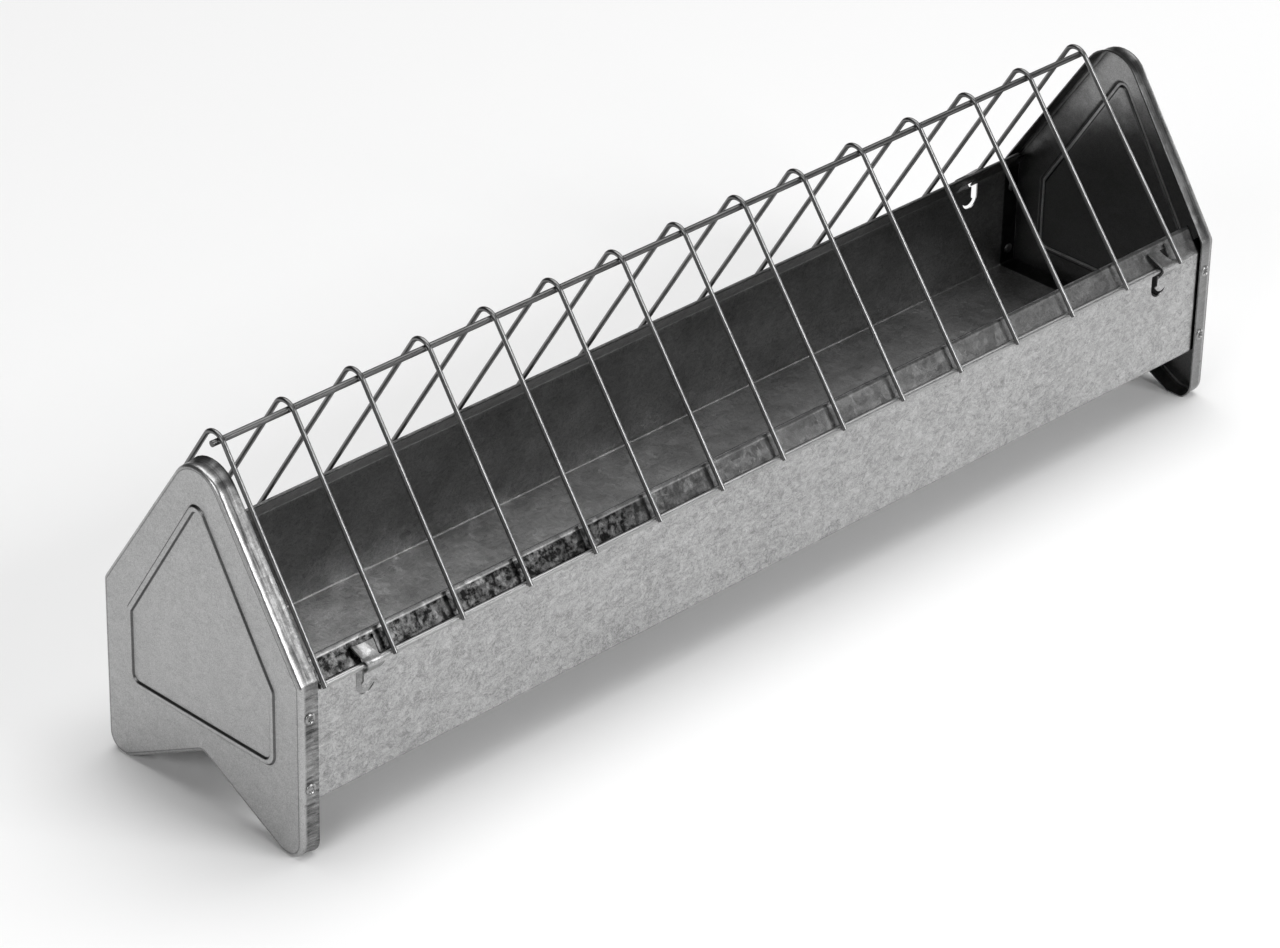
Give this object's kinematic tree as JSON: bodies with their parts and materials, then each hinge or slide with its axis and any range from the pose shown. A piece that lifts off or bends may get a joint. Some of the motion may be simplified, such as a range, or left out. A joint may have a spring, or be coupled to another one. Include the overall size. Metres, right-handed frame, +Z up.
{
  "type": "poultry trough feeder",
  "caption": "Free-standing metal feed trough with two end plates and a roof-shaped wire grille that slides along the lips and swings up.",
  "frame": {"origin": "middle of the footprint, on the ground plane that the four foot flats stand on", "axes": "+X runs along the trough, +Y points to the rear, where the grille is hinged, and +Z points up"},
  "size_m": [0.5018, 0.112, 0.1522],
  "materials": {
    "sheet": "galvanised sheet with a fine spangle, semi-matt",
    "plate": "galvanised sheet with a fine spangle, semi-matt",
    "wire": "galvanised wire, semi-gloss",
    "rivet": "plated steel, semi-gloss"
  },
  "bodies": {
    "base": {"trough": "sheet", "left_end_plate": "plate", "right_end_plate": "plate", "rivet_front_left_upper": "rivet", "rivet_front_right_upper": "rivet", "rivet_rear_left_upper": "rivet", "rivet_rear_right_upper": "rivet", "rivet_front_left_lower": "rivet", "rivet_front_right_lower": "rivet", "rivet_rear_left_lower": "rivet", "rivet_rear_right_lower": "rivet"},
    "rear_rail": {"rear_rail": "wire"},
    "grille": {"ridge_rod": "wire", "front_rail": "wire", "wire_01": "wire", "wire_02": "wire", "wire_03": "wire", "wire_04": "wire", "wire_05": "wire", "wire_06": "wire", "wire_07": "wire", "wire_08": "wire", "wire_09": "wire", "wire_10": "wire", "wire_11": "wire", "wire_12": "wire", "wire_13": "wire", "wire_14": "wire", "wire_15": "wire"}
  },
  "joints": [
    {"name": "grille_slide", "type": "slide", "parent": "base", "child": "rear_rail", "axis": [1, 0, 0], "range_m": [0, 0.012]},
    {"name": "grille_hinge", "type": "hinge", "parent": "rear_rail", "child": "grille", "pos_m": [0, 0.0528, 0.0706], "axis": [-1, 0, 0], "range_deg": [0, 60]}
  ]
}
